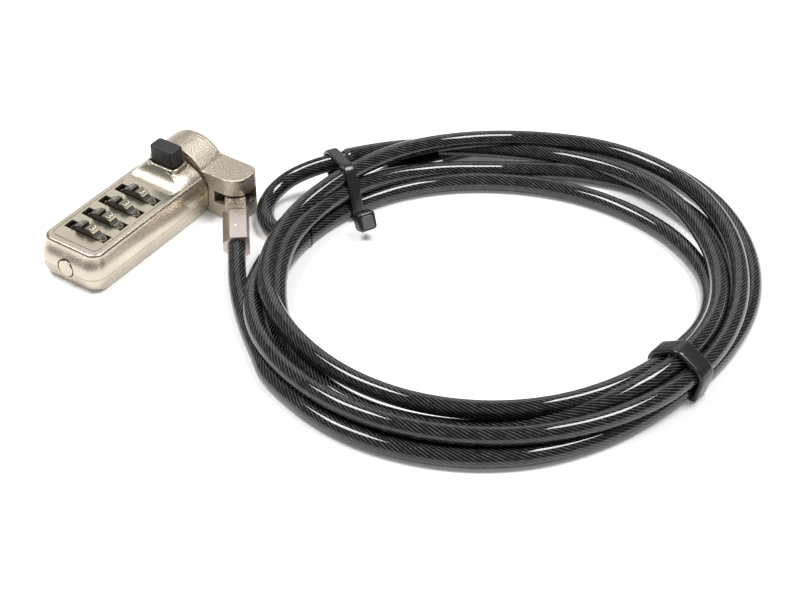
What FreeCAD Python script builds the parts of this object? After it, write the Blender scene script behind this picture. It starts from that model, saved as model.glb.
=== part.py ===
"""Laptop cable lock: a combination head on a swivel neck, with a coiled steel cable.

Millimetres. +X runs along the head towards its T-bar, +Z is up, and the origin is the
centre of the case's flat underside. Every length is measured in that frame.
"""
import FreeCAD, Part
import math
import os

V = FreeCAD.Vector

# ---- head case -------------------------------------------------------------------
CASE_LENGTH = 41.5
CASE_HALF_WIDTH = 9.4
CASE_CORNER_R = 4.0
PARTING_Z = 4.3
PLATEAU_Z = 10.65
PLATEAU_SIDE_STEP = 0.8
PLATEAU_FRONT_STEP = 1.5
# height, then how far the front and the sides stand in from the waist
BODY_SECTIONS = [
    (0.0, 1.7, 1.1),
    (0.8, 1.05, 0.62),
    (2.0, 0.5, 0.25),
    (3.6, 0.1, 0.03),
    (5.2, 0.0, 0.0),
    (6.6, 0.2, 0.12),
    (7.8, 0.7, 0.38),
    (8.8, 1.2, 0.64),
    (9.6, 1.5, 0.8),
]
PLATEAU_CORNER_R = 3.0
PLATEAU_EDGE_R = 0.8
GROOVE_INSET = 1.9
GROOVE_WIDTH = 0.25
GROOVE_DEPTH = 0.2
WALL = 1.4
ROOF = 1.25
FLOOR = 0.9
SEAM_DEPTH = 0.2
SEAM_HALF_HEIGHT = 0.1
RIVET_FRONT_INSET = 3.75
RIVET_FRONT_EDGE = 3.8
RIVET_REAR_INSET = 8.85
RIVET_REAR_EDGE = 2.5
RIVET_R = 0.8
RIVET_HEAD_R = 1.4
RIVET_HEAD_THICK = 0.5
RIVET_LENGTH = 5.6

# ---- spindle line and number dials -----------------------------------------------
AXIS_Z = 6.8
DIAL_COUNT = 4
DIAL_PITCH = 6.0
DIAL_BANK_SETBACK = 17.75
DIAL_R = 5.9
DIAL_THICK = 2.6
DIAL_BORE_R = 2.45
DIAL_PADS = 10
NOTCH_DEPTH = 0.7
NOTCH_WIDTH = 1.1
WINDOW_LENGTH = 12.5
WINDOW_WIDTH = 3.0
FLOOR_SLOT_GAP = 0.25
SLEEVE_R = 2.4
SLEEVE_LENGTH = 5.4
SPINDLE_R = 1.2
FIT_GAP = 0.05
SPINDLE_SETBACK = 4.35
DETENT_REACH = 0.7
DETENT_THICK = 0.25

# ---- neck end of the case, its collar and the button -----------------------------
SWELL_PROUD = 0.3
COLLAR_Z = 14.1
SWELL_TOP_Z = 13.7
RAMP_SETBACK = 11.75
COLLAR_RIM = 0.75
COLLAR_FLARE = 1.5
COLLAR_CORNER_R = 1.9
BUTTON_SETBACK = 5.25
BUTTON_LENGTH = 4.25
BUTTON_HALF_WIDTH = 3.7
BUTTON_TOP_Z = 18.6
SHELF_WALL = 0.4
SHELF_CLEAR = 0.2
BUTTON_GAP = 0.2
BUTTON_TRAVEL = 2.4
BUTTON_WALL = 0.6
BUTTON_ROOF = 1.0
BUTTON_CORNER_R = 0.9
BUTTON_EDGE_R = 0.45
RACK_WIDTH = 1.8
RACK_THICK = 0.8
RACK_TOOTH_PITCH = 0.9
RACK_TEETH = 6
RACK_MESH_GAP = 0.12
SPRING_WIRE_R = 0.16
BUTTON_SPRING_R = 1.15
BUTTON_SPRING_TURNS = 6
PINION_R = 1.75
PINION_TEETH = 8

# ---- nose, T-bar and neck ---------------------------------------------------------
NOSE_R = 3.0
NOSE_COLLAR_PROUD = 0.4
NOSE_COLLAR_THICK = 0.8
NECK_GAP = 0.25
NECK_LENGTH = 9.0
NECK_PROUD = 0.1
NECK_EDGE_R = 1.4
NOSE_FLANGE_PROUD = 2.0
NOSE_FLANGE_THICK = 1.0
PEG_REACH = 1.2
PEG_SPREAD = 2.7
PEG_HALF_WIDTH = 0.6
PEG_HALF_HEIGHT = 1.2
TBAR_LENGTH = 6.6
TBAR_WIDTH = 2.6
TBAR_THICK = 1.4
TBAR_STANDOFF = 1.8
TONGUE_TOP_Z = 12.2
TONGUE_REACH = 19.0
TONGUE_NEAR_R = 4.4
TONGUE_FAR_R = 2.6
CLEVIS_Z0 = 4.5
CLEVIS_Z1 = 7.7
CLEVIS_CLEAR = 3.0
PIN_INSET = 4.5
PIN_R = 1.2
PIN_TOP_Z = 10.2

# ---- reset button -----------------------------------------------------------------
RESET_Z = 5.1
RESET_R = 2.15
RESET_HOLE_R = 2.45
RESET_PROUD = 0.05
RESET_LENGTH = 1.5
RESET_FLANGE_R = 2.9
RESET_FLANGE_THICK = 0.4
RESET_TRAVEL = 1.0
RESET_SPRING_R = 0.85
RESET_SPRING_TURNS = 3
RESET_SPRING_BELOW = 1.4
RESET_SPRING_ROOM = 2.6

# ---- ferrule ------------------------------------------------------------------------
FERRULE_TURN = -141.0
LUG_HALF_WIDTH = 2.5
LUG_THICK = 2.5
SLEEVE_START = 7.8
SLEEVE_END = 20.5
FERRULE_WIDTH = 6.4
FERRULE_HEIGHT = 5.6
FERRULE_BEVEL = 1.7
FERRULE_EASE = 0.6
FERRULE_Z = 4.4
MOUTH_DEPTH = 2.0
DIMPLE_R = 0.6
DIMPLE_AT = 15.6

# ---- cable --------------------------------------------------------------------------
CABLE_D = 4.4
CABLE_ROUTE = [
    (10.97, -26.27, 4.4),
    (5.2, -30.85, 4.0),
    (-0.8, -35.75, 3.0),
    (-6.9, -42.0, 2.25),
    (-12.4, -48.6, 2.2),
    (-17.2, -55.1, 2.2),
]
COIL_X = 34.86
COIL_Y = -85.94
COIL_LONG_R = 65.6
COIL_SHORT_R = 56.2
COIL_TURN = -5.4
COIL_INNER_R = 43.0
COIL_HEIGHT = 8.3
COIL_EDGE_R = 2.6
COIL_SHIFT_X = 1.84
COIL_SHIFT_Y = -0.17
HOLE_SHIFT_X = -2.6
HOLE_SHIFT_Y = -1.1
EYE_ROUTE = [
    (48.5, -33.7, 10.5),
    (44.8, -28.9, 9.2),
    (40.8, -24.1, 7.0),
    (36.5, -21.3, 5.2),
    (30.9, -20.9, 3.8),
    (25.9, -23.0, 2.7),
    (22.4, -27.3, 2.25),
    (22.0, -33.0, 2.2),
    (25.8, -38.0, 2.2),
]
EYE_SLEEVE_ANGLE = 57.0
EYE_SLEEVE_R0 = 49.0
EYE_SLEEVE_LENGTH = 14.0
EYE_SLEEVE_WIDTH = 7.4
EYE_SLEEVE_HEIGHT = 4.6
ZIP_TIE_INNER = (37.4, -44.4)
ZIP_TIE_OUTER = (48.2, -25.3)
ZIP_TIE_WIDTH = 3.4
ZIP_TIE_PROFILE = [(-3.4, 0.0), (0.0, 6.2), (0.0, 9.2), (-2.0, 10.7), (-4.6, 10.6)]
ZIP_HEAD_WIDTH = 5.0
ZIP_HEAD_DEPTH = 4.0
ZIP_HEAD_Z0 = 2.4
ZIP_HEAD_Z1 = 7.6
BAND_TIE_INNER = (29.7, -130.1)
BAND_TIE_OUTER = (28.6, -145.6)
BAND_TIE_WIDTH = 5.0
TIE_THICK = 1.0


def box(x0, x1, y0, y1, z0, z1):
    """A solid block between two corners."""
    return Part.makeBox(x1 - x0, y1 - y0, z1 - z0, V(x0, y0, z0))


def disc(radius, x0, x1, y=0.0, z=AXIS_Z):
    """A cylinder lying along X."""
    return Part.makeCylinder(radius, x1 - x0, V(x0, y, z), V(1, 0, 0))


def post(radius, x, y, z0, z1):
    """An upright cylinder."""
    return Part.makeCylinder(radius, z1 - z0, V(x, y, z0), V(0, 0, 1))


def rounded_outline(x0, x1, half_width, radius, z):
    """A closed wire: square at x1, rounded by radius at its two x0 corners."""
    k = radius * (1 - math.cos(math.pi / 4))
    a = V(x1, -half_width, z)
    b = V(x0 + radius, -half_width, z)
    c = V(x0, -half_width + radius, z)
    d = V(x0, half_width - radius, z)
    e = V(x0 + radius, half_width, z)
    f = V(x1, half_width, z)
    near = V(x0 + k, -half_width + k, z)
    far = V(x0 + k, half_width - k, z)
    edges = [
        Part.LineSegment(a, b).toShape(),
        Part.Arc(b, near, c).toShape(),
        Part.LineSegment(c, d).toShape(),
        Part.Arc(d, far, e).toShape(),
        Part.LineSegment(e, f).toShape(),
        Part.LineSegment(f, a).toShape(),
    ]
    return Part.Wire(edges)


def slab(x0, x1, half_width, radius, z0, z1):
    """A flat plate with the outline above."""
    face = Part.Face(rounded_outline(x0, x1, half_width, radius, z0))
    return face.extrude(V(0, 0, z1 - z0))


def edges_at_z(shape, z):
    """The edges that lie wholly at one height."""
    found = []
    for edge in shape.Edges:
        box_ = edge.BoundBox
        if abs(box_.ZMin - z) < 1e-4 and abs(box_.ZMax - z) < 1e-4:
            found.append(edge)
    return found


def edges_off_end(edges, x):
    """Of those edges, the ones that don't lie in the plane at x."""
    return [edge for edge in edges if edge.BoundBox.XMin < x - 0.01]


CASE_X0 = -CASE_LENGTH / 2
CASE_X1 = CASE_LENGTH / 2
PLATEAU_X0 = CASE_X0 + PLATEAU_FRONT_STEP
PLATEAU_HALF_WIDTH = CASE_HALF_WIDTH - PLATEAU_SIDE_STEP
SWELL_R = CASE_HALF_WIDTH + SWELL_PROUD
RAMP_START_X = CASE_X1 - RAMP_SETBACK
BUTTON_X0 = CASE_X1 - BUTTON_SETBACK
BUTTON_X1 = BUTTON_X0 + BUTTON_LENGTH
DETENT_Y = DIAL_R + DETENT_REACH
SPINDLE_FRONT_X = CASE_X0 + SPINDLE_SETBACK
NOSE_COLLAR_R = NOSE_R + NOSE_COLLAR_PROUD
NOSE_FLANGE_R = NOSE_R + NOSE_FLANGE_PROUD
SHELF_FLOOR_Z = AXIS_Z + NOSE_COLLAR_R + SHELF_WALL
BUTTON_FOOT_Z = SHELF_FLOOR_Z + BUTTON_TRAVEL + SHELF_CLEAR
NECK_R = CASE_HALF_WIDTH + NECK_PROUD
RIVET_SPOTS = []
for rivet_x, rivet_y in (
        (CASE_X0 + RIVET_FRONT_INSET, CASE_HALF_WIDTH - RIVET_FRONT_EDGE),
        (CASE_X1 - RIVET_REAR_INSET, CASE_HALF_WIDTH - RIVET_REAR_EDGE)):
    RIVET_SPOTS += [(rivet_x, -rivet_y), (rivet_x, rivet_y)]
DIAL_BANK_X = CASE_X0 + DIAL_BANK_SETBACK
DIAL_XS = [DIAL_BANK_X + (i - (DIAL_COUNT - 1) / 2) * DIAL_PITCH for i in range(DIAL_COUNT)]
NECK_X0 = CASE_X1 + NECK_GAP
NECK_X1 = NECK_X0 + NECK_LENGTH
PIN_X = NECK_X0 + NECK_LENGTH / 2
PIN_Y = PIN_INSET - TONGUE_REACH
CLEVIS_BACK_Y = PIN_Y + CLEVIS_CLEAR
NOSE_COLLAR_X = CASE_X1 - 1.0 - NOSE_COLLAR_THICK
FLANGE_X1 = NECK_X1 + NOSE_FLANGE_THICK
TBAR_X = FLANGE_X1 + TBAR_STANDOFF
PINION_X0 = BUTTON_X0 + BUTTON_WALL + FIT_GAP
BUTTON_MID_X = (BUTTON_X0 + BUTTON_X1) / 2
DIAL_CAVITY_X0 = DIAL_XS[0] - DIAL_PITCH / 2
DIAL_CAVITY_X1 = DIAL_XS[-1] + DIAL_PITCH / 2
CAVITY_HALF_WIDTH = PLATEAU_HALF_WIDTH - WALL
CEILING_Z = PLATEAU_Z - ROOF
RACK_Y1 = -PINION_R - RACK_MESH_GAP
RACK_Y0 = RACK_Y1 - RACK_THICK
SPRING_X1 = CASE_X0 + RESET_LENGTH + RESET_SPRING_ROOM


def body_block():
    """The case below the plateau: widest at its waist, drawn in towards the foot and the top."""
    wires = []
    for z, front, side in BODY_SECTIONS:
        radius = CASE_CORNER_R + (PLATEAU_CORNER_R - CASE_CORNER_R) * min(1.0, front / PLATEAU_FRONT_STEP)
        wires.append(rounded_outline(CASE_X0 + front, CASE_X1, CASE_HALF_WIDTH - side, radius, z))
    return Part.makeLoft(wires, True, False)


def plateau_block():
    """The flat-topped block that the dial windows are cut in, its top edge rounded."""
    block = slab(PLATEAU_X0, CASE_X1, PLATEAU_HALF_WIDTH, PLATEAU_CORNER_R, BODY_SECTIONS[-1][0] - 0.6, PLATEAU_Z)
    rim = edges_off_end(edges_at_z(block, PLATEAU_Z), CASE_X1)
    return block.makeFillet(PLATEAU_EDGE_R, rim)


def swell_block():
    """The neck end: a barrel about the spindle, flattened on top, that sweeps up out of the plateau."""
    start = V(RAMP_START_X, 0, AXIS_Z + PLATEAU_HALF_WIDTH - 0.4)
    mid = V(RAMP_START_X + 4.6, 0, AXIS_Z + SWELL_R - 0.35)
    end = V(RAMP_START_X + 8.5, 0, AXIS_Z + SWELL_R)
    rim = V(CASE_X1, 0, AXIS_Z + SWELL_R)
    profile = Part.Wire([
        Part.Arc(start, mid, end).toShape(),
        Part.LineSegment(end, rim).toShape(),
        Part.LineSegment(rim, V(CASE_X1, 0, AXIS_Z)).toShape(),
        Part.LineSegment(V(CASE_X1, 0, AXIS_Z), V(RAMP_START_X, 0, AXIS_Z)).toShape(),
        Part.LineSegment(V(RAMP_START_X, 0, AXIS_Z), start).toShape(),
    ])
    barrel = Part.Face(profile).revolve(V(0, 0, AXIS_Z), V(1, 0, 0), 360)
    lower = barrel.common(box(0, 60, -30, 30, 0, AXIS_Z))
    squeeze = (SWELL_TOP_Z - AXIS_Z) / SWELL_R
    matrix = FreeCAD.Matrix()
    matrix.move(V(0, 0, -AXIS_Z))
    matrix.scale(V(1, 1, squeeze))
    matrix.move(V(0, 0, AXIS_Z))
    upper = barrel.transformGeometry(matrix).common(box(0, 60, -30, 30, AXIS_Z, 60))
    return lower.fuse(upper.common(ramp_block()))


def ramp_block():
    """The concave sweep from the plateau up to the collar, as a wide block beneath it."""
    low = V(RAMP_START_X, 0, PLATEAU_Z - 0.02)
    top_x = BUTTON_X0 - COLLAR_RIM
    high = V(top_x, 0, SWELL_TOP_Z + 0.1)
    run = top_x - RAMP_START_X
    sweep_mid = V(RAMP_START_X + run * 0.62, 0, PLATEAU_Z + (SWELL_TOP_Z - PLATEAU_Z) * 0.27)
    ramp_wire = Part.Wire([
        Part.Arc(low, sweep_mid, high).toShape(),
        Part.LineSegment(high, V(CASE_X1, 0, high.z)).toShape(),
        Part.LineSegment(V(CASE_X1, 0, high.z), V(CASE_X1, 0, 0)).toShape(),
        Part.LineSegment(V(CASE_X1, 0, 0), V(RAMP_START_X, 0, 0)).toShape(),
        Part.LineSegment(V(RAMP_START_X, 0, 0), low).toShape(),
    ])
    ramp = Part.Face(ramp_wire).extrude(V(0, 2 * SWELL_R + 2, 0))
    ramp.translate(V(0, -SWELL_R - 1, 0))
    return ramp


def collar_outline(spread, z):
    """A closed rounded-rectangle wire round the button's opening, spread outwards."""
    gap = BUTTON_GAP + COLLAR_RIM + spread
    x0 = BUTTON_X0 - gap
    x1 = BUTTON_X1 + gap
    y1 = BUTTON_HALF_WIDTH + gap
    face = Part.makePlane(x1 - x0, 2 * y1, V(x0, -y1, z))
    block = face.extrude(V(0, 0, 1))
    upright = [edge for edge in block.Edges if edge.BoundBox.ZLength > 0.5]
    block = block.makeFillet(COLLAR_CORNER_R + spread * 0.6, upright)
    for side in block.Faces:
        if side.BoundBox.ZMax < z + 0.01:
            return side.OuterWire
    return None


def collar_block():
    """The raised collar round the button: flared where it meets the ramp, its rim rounded."""
    wires = []
    steps = 5
    low_z = PLATEAU_Z
    for i in range(steps + 1):
        rise = i / steps
        wires.append(collar_outline(COLLAR_FLARE * (1 - rise) ** 2.2, low_z + (COLLAR_Z - 0.5 - low_z) * rise))
    flare = Part.makeLoft(wires, True, False)
    cap = Part.Face(collar_outline(0, COLLAR_Z - 0.5)).extrude(V(0, 0, 0.5))
    cap = cap.makeFillet(0.3, edges_at_z(cap, COLLAR_Z))
    return flare.fuse(cap).common(box(0, CASE_X1, -20, 20, 0, 60))


def case_form():
    """The head's outside form, solid."""
    form = body_block().fuse(plateau_block()).fuse(swell_block())
    return form.fuse(collar_block()).removeSplitter()


def case_hollow():
    """Everything that is cut out of the case form."""
    cuts = [box(DIAL_CAVITY_X0, DIAL_CAVITY_X1, -CAVITY_HALF_WIDTH, CAVITY_HALF_WIDTH, FLOOR + 0.4, CEILING_Z)]
    for x in DIAL_XS:
        half = WINDOW_WIDTH / 2
        cuts.append(disc(DIAL_R + FLOOR_SLOT_GAP, x - half, x + half))
        cuts.append(box(x - half, x + half, -WINDOW_LENGTH / 2, WINDOW_LENGTH / 2, CEILING_Z - 0.5, PLATEAU_Z + 1))
    # spindle line: front bearing, bay for the pinion, bore for the nose
    cuts.append(disc(SPINDLE_R + FIT_GAP, SPINDLE_FRONT_X - 0.1, CASE_X1 + 1))
    bay_x1 = PINION_X0 + RACK_WIDTH + 0.15
    cuts.append(box(DIAL_CAVITY_X1 + 1.2, bay_x1, -4.4, 4.4, FLOOR + 0.4, CEILING_Z))
    cuts.append(disc(NOSE_R + FIT_GAP, bay_x1 - 0.1, CASE_X1 + 1))
    cuts.append(disc(NOSE_COLLAR_R + FIT_GAP, NOSE_COLLAR_X - FIT_GAP, NOSE_COLLAR_X + NOSE_COLLAR_THICK + FIT_GAP))
    # pocket for the button, and the slot that its rack leg passes through
    cuts.append(box(BUTTON_X0 - BUTTON_GAP, BUTTON_X1 + BUTTON_GAP,
                    -BUTTON_HALF_WIDTH - BUTTON_GAP, BUTTON_HALF_WIDTH + BUTTON_GAP,
                    SHELF_FLOOR_Z, COLLAR_Z + 1))
    cuts.append(box(PINION_X0 - 0.15, bay_x1, RACK_Y0 - 0.15, RACK_Y1 + 0.15, CEILING_Z - 0.1, SHELF_FLOOR_Z + 0.1))
    # reset button: hole, flange pocket and spring pocket
    stop = CASE_X0 + RESET_LENGTH
    cuts.append(disc(RESET_HOLE_R, CASE_X0 - 1, stop + 0.1, z=RESET_Z))
    cuts.append(disc(RESET_FLANGE_R + 0.15, stop - 0.02, stop + RESET_FLANGE_THICK + RESET_TRAVEL + 0.2, z=RESET_Z))
    cuts.append(disc(RESET_SPRING_R + 0.45, stop, SPRING_X1, z=RESET_Z - RESET_SPRING_BELOW))
    return cuts


def groove_ring():
    """The fine engraved line that runs round the plateau, just inside its edge."""
    outer = slab(PLATEAU_X0 + GROOVE_INSET, RAMP_START_X, PLATEAU_HALF_WIDTH - GROOVE_INSET + 0.4,
                 PLATEAU_CORNER_R - 1.4, PLATEAU_Z - GROOVE_DEPTH, PLATEAU_Z + 1)
    inner = slab(PLATEAU_X0 + GROOVE_INSET + GROOVE_WIDTH, RAMP_START_X + 1,
                 PLATEAU_HALF_WIDTH - GROOVE_INSET + 0.4 - GROOVE_WIDTH,
                 PLATEAU_CORNER_R - 1.4 - GROOVE_WIDTH, PLATEAU_Z - 1, PLATEAU_Z + 2)
    return outer.cut(inner)


def build_case():
    """The case's two shells, parted level, and the four rivets that hold them."""
    form = case_form()
    for cut in case_hollow():
        form = form.cut(cut)
    rivets = []
    for x, y in RIVET_SPOTS:
        form = form.cut(post(RIVET_R, x, y, -1, RIVET_LENGTH))
        form = form.cut(post(RIVET_HEAD_R, x, y, -1, RIVET_HEAD_THICK))
        rivets.append(post(RIVET_R, x, y, 0.1, RIVET_LENGTH).fuse(post(RIVET_HEAD_R, x, y, 0.1, RIVET_HEAD_THICK)))
    big = 60
    upper = form.common(box(-big, big, -big, big, PARTING_Z, big)).cut(groove_ring())
    lower = form.common(box(-big, big, -big, big, -big, PARTING_Z))
    # a rebate on the lower shell's edge shows as the thin seam between the two
    seam_tool = slab(CASE_X0 - 1, CASE_X1 + 1, CASE_HALF_WIDTH + 1, 0.5,
                     PARTING_Z - SEAM_HALF_HEIGHT, PARTING_Z + SEAM_HALF_HEIGHT)
    seam_keep = slab(CASE_X0 + SEAM_DEPTH, CASE_X1 + 2, CASE_HALF_WIDTH - SEAM_DEPTH,
                     CASE_CORNER_R - SEAM_DEPTH, -1, PARTING_Z + 1)
    lower = lower.cut(seam_tool.cut(seam_keep))
    export("upper_case", upper)
    export("lower_case", lower)
    export_group("case_rivets", rivets)


def dial_solid():
    """One number dial: ten pads parted by notches, on a flat-sided ring."""
    ring = disc(DIAL_R, -DIAL_THICK / 2, DIAL_THICK / 2, z=0)
    ring = ring.cut(disc(DIAL_BORE_R, -DIAL_THICK, DIAL_THICK, z=0))
    step = 360.0 / DIAL_PADS
    for i in range(DIAL_PADS):
        notch = box(-DIAL_THICK, DIAL_THICK, -NOTCH_WIDTH / 2, NOTCH_WIDTH / 2, DIAL_R - NOTCH_DEPTH, DIAL_R + 1)
        notch.rotate(V(0, 0, 0), V(1, 0, 0), step * i)
        ring = ring.cut(notch)
    return ring


def build_dials():
    """Four dials and the sleeves that turn with them on the spindle."""
    for i, x in enumerate(DIAL_XS):
        dial = dial_solid()
        dial.translate(V(x, 0, AXIS_Z))
        export("number_dial_%d" % (i + 1), dial)
        sleeve = disc(SLEEVE_R, x - SLEEVE_LENGTH / 2, x + SLEEVE_LENGTH / 2)
        sleeve = sleeve.cut(disc(SPINDLE_R + FIT_GAP, x - DIAL_PITCH, x + DIAL_PITCH))
        export("dial_sleeve_%d" % (i + 1), sleeve)


def build_detent():
    """The leaf spring beside the dials: a strip with one bowed finger for each dial."""
    y1 = CAVITY_HALF_WIDTH
    strip = box(DIAL_CAVITY_X0 + 0.1, DIAL_CAVITY_X1 - 0.1, y1 - DETENT_THICK, y1, 7.6, 9.2)
    for x in DIAL_XS:
        finger = box(x - 0.8, x + 0.8, y1 - DETENT_THICK, y1, 4.6, 7.7)
        strip = strip.fuse(finger)
        tip = box(x - 0.8, x + 0.8, DETENT_Y - DETENT_THICK, y1, 4.6, 5.0)
        strip = strip.fuse(tip)
    export("detent_leaf", strip.removeSplitter())


def build_nose():
    """The hollow nose that the neck turns on, with its end flange and two anti-twist pegs."""
    start = PINION_X0 + RACK_WIDTH + 0.3
    nose = disc(NOSE_R, start, FLANGE_X1 - 0.2)
    nose = nose.fuse(disc(NOSE_COLLAR_R, NOSE_COLLAR_X, NOSE_COLLAR_X + NOSE_COLLAR_THICK))
    nose = nose.fuse(disc(NOSE_FLANGE_R, NECK_X1 + 0.15, FLANGE_X1))
    for side in (-1, 1):
        y = side * PEG_SPREAD
        nose = nose.fuse(box(FLANGE_X1 - 0.2, FLANGE_X1 + PEG_REACH, y - PEG_HALF_WIDTH, y + PEG_HALF_WIDTH,
                             AXIS_Z - PEG_HALF_HEIGHT, AXIS_Z + PEG_HALF_HEIGHT))
    nose = nose.cut(disc(SPINDLE_R + FIT_GAP, start - 1, FLANGE_X1 + 5))
    export("lock_nose", nose.removeSplitter())


def build_spindle():
    """The spindle, the pinion that turns it and the T-bar on its end."""
    export("lock_spindle", disc(SPINDLE_R, SPINDLE_FRONT_X, TBAR_X))
    pinion = disc(PINION_R, PINION_X0, PINION_X0 + RACK_WIDTH, z=0)
    for i in range(PINION_TEETH):
        gap = box(-50, 50, -0.28, 0.28, PINION_R - 0.38, PINION_R + 1)
        gap.rotate(V(0, 0, 0), V(1, 0, 0), 360.0 / PINION_TEETH * (i + 0.5))
        pinion = pinion.cut(gap)
    pinion.translate(V(0, 0, AXIS_Z))
    pinion = pinion.cut(disc(SPINDLE_R, 0, 30))
    export("spindle_pinion", pinion)
    bar = box(TBAR_X, TBAR_X + TBAR_THICK, -TBAR_LENGTH / 2, TBAR_LENGTH / 2,
              AXIS_Z - TBAR_WIDTH / 2, AXIS_Z + TBAR_WIDTH / 2)
    ends = []
    for edge in bar.Edges:
        if edge.BoundBox.XLength > TBAR_THICK / 2:
            ends.append(edge)
    bar = bar.makeFillet(0.9, ends)
    export("t_bar", bar)


def build_button():
    """The push button, hollow underneath, and the rack leg that hangs from its roof."""
    body = box(BUTTON_X0, BUTTON_X1, -BUTTON_HALF_WIDTH, BUTTON_HALF_WIDTH, BUTTON_FOOT_Z, BUTTON_TOP_Z)
    upright = [edge for edge in body.Edges if edge.BoundBox.ZLength > 1]
    body = body.makeFillet(BUTTON_CORNER_R, upright)
    body = body.makeFillet(BUTTON_EDGE_R, edges_at_z(body, BUTTON_TOP_Z))
    roof = BUTTON_TOP_Z - BUTTON_ROOF
    body = body.cut(box(BUTTON_X0 + BUTTON_WALL, BUTTON_X1 - BUTTON_WALL,
                        -BUTTON_HALF_WIDTH + BUTTON_WALL, BUTTON_HALF_WIDTH - BUTTON_WALL,
                        BUTTON_FOOT_Z - 1, roof))
    export("push_button", body)
    foot_z = FLOOR + 0.4 + BUTTON_TRAVEL + 0.2
    leg = box(PINION_X0, PINION_X0 + RACK_WIDTH, RACK_Y0, RACK_Y1, foot_z, roof)
    leg = leg.fuse(box(PINION_X0, PINION_X0 + RACK_WIDTH, RACK_Y0 - 0.8, RACK_Y1, foot_z, CEILING_Z - 0.15))
    for i in range(RACK_TEETH):
        z = foot_z + (i + 0.55) * RACK_TOOTH_PITCH
        leg = leg.cut(box(PINION_X0 - 1, PINION_X0 + RACK_WIDTH + 1, RACK_Y1 - 0.3, RACK_Y1 + 1,
                          z, z + RACK_TOOTH_PITCH / 2))
    export("button_slider", leg)
    export("button_spring", coil_spring(BUTTON_SPRING_R, SPRING_WIRE_R, BUTTON_MID_X + 0.15, 0.75,
                                        SHELF_FLOOR_Z, roof, BUTTON_SPRING_TURNS))


def coil_spring(radius, wire_r, x, y, z0, z1, turns):
    """A compression spring, drawn as the tube that its coils fill."""
    tube = post(radius + wire_r, x, y, z0, z1)
    tube = tube.cut(post(radius - wire_r, x, y, z0 - 1, z1 + 1))
    pitch = (z1 - z0) / turns
    for i in range(turns):
        z = z0 + pitch * (i + 0.7)
        groove = post(radius + 1, x, y, z, z + pitch * 0.4)
        groove = groove.cut(post(radius, x, y, z - 1, z + pitch + 1))
        tube = tube.cut(groove)
    return tube


def build_reset():
    """The code-reset button in the front wall, and its spring."""
    stop = CASE_X0 + RESET_LENGTH
    button = disc(RESET_R, CASE_X0 - RESET_PROUD, stop + 0.1, z=RESET_Z)
    face = [edge for edge in button.Edges if edge.BoundBox.XMax < CASE_X0]
    button = button.makeFillet(0.12, face)
    button = button.fuse(disc(RESET_FLANGE_R, stop + 0.02, stop + RESET_FLANGE_THICK, z=RESET_Z))
    export("reset_button", button.removeSplitter())
    spring = coil_spring(RESET_SPRING_R, SPRING_WIRE_R, 0, 0, 0, SPRING_X1 - stop - RESET_FLANGE_THICK,
                         RESET_SPRING_TURNS)
    spring.rotate(V(0, 0, 0), V(0, 1, 0), 90)
    spring.translate(V(stop + RESET_FLANGE_THICK, 0, RESET_Z - RESET_SPRING_BELOW))
    export("reset_spring", spring)


def tongue_outline():
    """The hinge tongue's plan: from the barrel's middle out to two rounded corners."""
    x0 = NECK_X0
    x1 = NECK_X1
    y = -TONGUE_REACH
    s = math.sqrt(0.5)
    near = V(x0 + TONGUE_NEAR_R, y + TONGUE_NEAR_R, 0)
    far = V(x1 - TONGUE_FAR_R, y + TONGUE_FAR_R, 0)
    p1 = V(x0, near.y, 0)
    p2 = V(near.x, y, 0)
    p3 = V(far.x, y, 0)
    p4 = V(x1, far.y, 0)
    mid_near = near + V(-s * TONGUE_NEAR_R, -s * TONGUE_NEAR_R, 0)
    mid_far = far + V(s * TONGUE_FAR_R, -s * TONGUE_FAR_R, 0)
    return Part.Wire([
        Part.LineSegment(V(x0, 0, 0), p1).toShape(),
        Part.Arc(p1, mid_near, p2).toShape(),
        Part.LineSegment(p2, p3).toShape(),
        Part.Arc(p3, mid_far, p4).toShape(),
        Part.LineSegment(p4, V(x1, 0, 0)).toShape(),
        Part.LineSegment(V(x1, 0, 0), V(x0, 0, 0)).toShape(),
    ])


def build_neck():
    """The swivel neck: a barrel on the nose, a flat tongue and the slot for the ferrule."""
    barrel = disc(NECK_R, NECK_X0, NECK_X1)
    outer_edge = [e for e in barrel.Edges if e.BoundBox.XMin > NECK_X1 - 0.01]
    barrel = barrel.makeFillet(NECK_EDGE_R, outer_edge)
    barrel = barrel.common(box(0, 60, -30, 30, 0, 60))
    tongue = Part.Face(tongue_outline()).extrude(V(0, 0, TONGUE_TOP_Z))
    tongue = tongue.makeFillet(0.35, outer_rim(tongue, TONGUE_TOP_Z))
    tongue = tongue.makeFillet(0.8, outer_rim(tongue, 0))
    neck = barrel.fuse(tongue).removeSplitter()
    neck = neck.cut(disc(NOSE_R + FIT_GAP, 0, 60))
    slot_x1 = PIN_X + LUG_HALF_WIDTH + 0.4
    slot = box(NECK_X0 - 1, slot_x1, -TONGUE_REACH - 1, CLEVIS_BACK_Y, CLEVIS_Z0, CLEVIS_Z1)
    neck = neck.cut(slot)
    neck = neck.cut(post(PIN_R, PIN_X, PIN_Y, -1, PIN_TOP_Z))
    export("swivel_neck", neck)
    export("hinge_pin", post(PIN_R, PIN_X, PIN_Y, 0.1, PIN_TOP_Z))


def outer_rim(shape, z):
    """The edges at one height that lie beyond the barrel's middle on the tongue's side."""
    return [e for e in edges_at_z(shape, z) if e.BoundBox.YMin < -0.01]


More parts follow.
